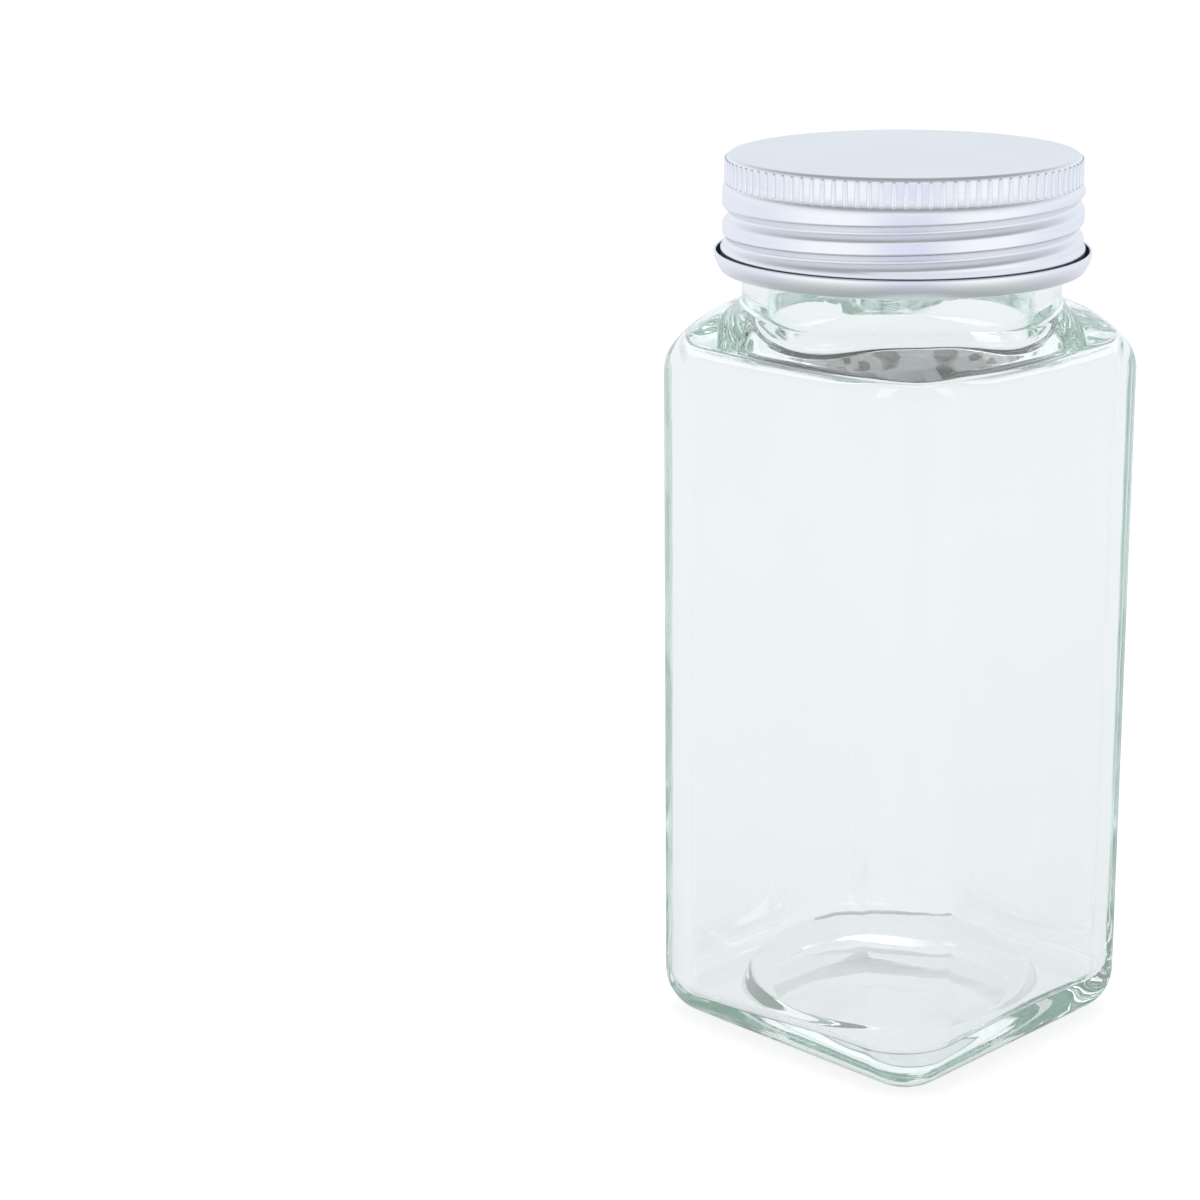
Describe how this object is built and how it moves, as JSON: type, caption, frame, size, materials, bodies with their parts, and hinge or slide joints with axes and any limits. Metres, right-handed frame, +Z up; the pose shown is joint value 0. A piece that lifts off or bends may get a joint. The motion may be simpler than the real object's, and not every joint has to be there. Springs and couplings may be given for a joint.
{
  "type": "spice shaker",
  "caption": "Square glass spice jar with an arched shoulder and screw neck, a snap-in plastic sifter, a foam seal and a knurled aluminium screw cap with an open curl.",
  "frame": {"origin": "middle of the base, on the surface the jar stands on", "axes": "+Z up along the jar's axis, +X and +Y square to two of its flat sides"},
  "size_m": [0.0432, 0.0432, 0.1052],
  "materials": {
    "glass": "clear, smooth, faint green tint in the thick edges",
    "insert_plastic": "moulded, soft sheen, slightly milky",
    "liner_foam": "fine closed-cell foam, matte",
    "cap_metal": "bright satin, rolled"
  },
  "bodies": {
    "jar": {"glass_jar": "glass", "shaker_insert": "insert_plastic"},
    "liner": {"cap_liner": "liner_foam"},
    "cap": {"cap_shell": "cap_metal"}
  },
  "joints": [
    {"name": "cap_lift", "type": "slide", "parent": "jar", "child": "liner", "axis": [0, 0, 1], "range_m": [0, 0.0159]},
    {"name": "cap_turn", "type": "hinge", "parent": "liner", "child": "cap", "pos_m": [0, 0, 0.1], "axis": [0, 0, 1], "range_deg": [0, 1800]}
  ],
  "couplings": [
    {"joint": "cap_lift", "follows": "cap_turn", "m_per_rad": 0.00050532}
  ]
}
